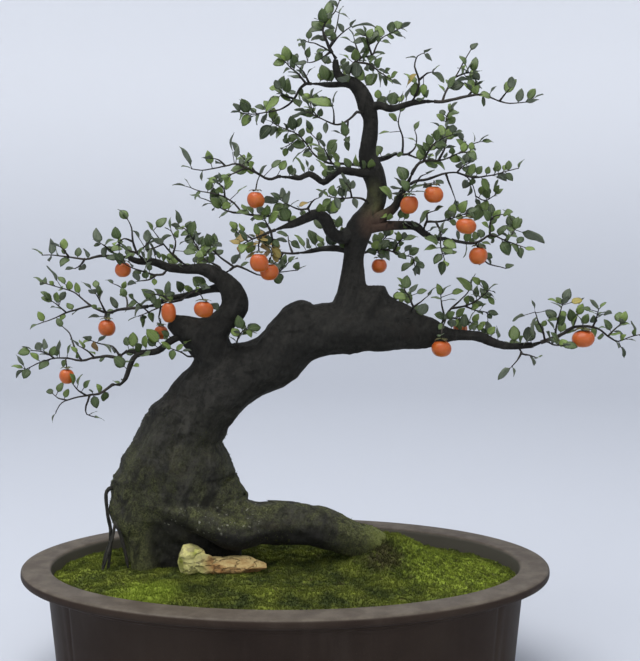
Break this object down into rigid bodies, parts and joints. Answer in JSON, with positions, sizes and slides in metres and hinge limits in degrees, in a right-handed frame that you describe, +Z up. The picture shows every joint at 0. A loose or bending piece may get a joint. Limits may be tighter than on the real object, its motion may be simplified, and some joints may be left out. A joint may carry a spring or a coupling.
{
  "type": "persimmon bonsai",
  "caption": "Leaning persimmon bonsai with an arching trunk, leafy sprays and orange fruits, in a wide oval stoneware pot with moss and a stone.",
  "frame": {"origin": "middle of the pot's flat underside", "axes": "+Z up through the pot and along the tree's height, the longest way; +X to the right in the front view, along the pot's long axis; +Y to the back, the shortest way"},
  "size_m": [0.8076, 0.45, 0.892],
  "materials": {
    "pot_stoneware": "satin",
    "bark": "matte",
    "moss": "matte",
    "soil": "matte",
    "rock": "matte",
    "drain_mesh": "matte",
    "leaf": "satin",
    "persimmon": "satin"
  },
  "bodies": {
    "root": {"drain_mesh_left": "drain_mesh", "drain_mesh_right": "drain_mesh", "fruit_01": "persimmon", "fruit_02": "persimmon", "fruit_03": "persimmon", "fruit_04": "persimmon", "fruit_05": "persimmon", "fruit_06": "persimmon", "fruit_07": "persimmon", "fruit_08": "persimmon", "fruit_09": "persimmon", "fruit_10": "persimmon", "fruit_11": "persimmon", "fruit_12": "persimmon", "fruit_13": "persimmon", "fruit_14": "persimmon", "fruit_15": "persimmon", "fruit_16": "persimmon", "fruit_17": "persimmon", "moss": "moss", "pot": "pot_stoneware", "rock": "rock", "soil": "soil", "spray_apex": "leaf", "spray_apex_right": "leaf", "spray_crotch": "leaf", "spray_far_left": "leaf", "spray_head": "leaf", "spray_high_left": "leaf", "spray_high_left_up": "leaf", "spray_left_1": "leaf", "spray_left_1_inner": "leaf", "spray_left_1_low": "leaf", "spray_left_1_up": "leaf", "spray_left_2": "leaf", "spray_left_2_inner": "leaf", "spray_left_3": "leaf", "spray_left_4": "leaf", "spray_middle_back": "leaf", "spray_middle_front": "leaf", "spray_middle_front_up": "leaf", "spray_neck_left": "leaf", "spray_neck_right": "leaf", "spray_right_2": "leaf", "spray_right_2_up": "leaf", "spray_right_3": "leaf", "spray_right_4": "leaf", "spray_right_5": "leaf", "spray_right_5_inner": "leaf", "spray_right_branch_in": "leaf", "spray_right_branch_mid": "leaf", "spray_right_end": "leaf", "spray_right_end_low": "leaf", "spray_right_fan": "leaf", "spray_right_fan_low": "leaf", "spray_right_inner": "leaf", "spray_top_left": "leaf", "spray_top_left_low": "leaf", "spray_upright_front": "leaf", "wood": "bark"}
  },
  "joints": []
}
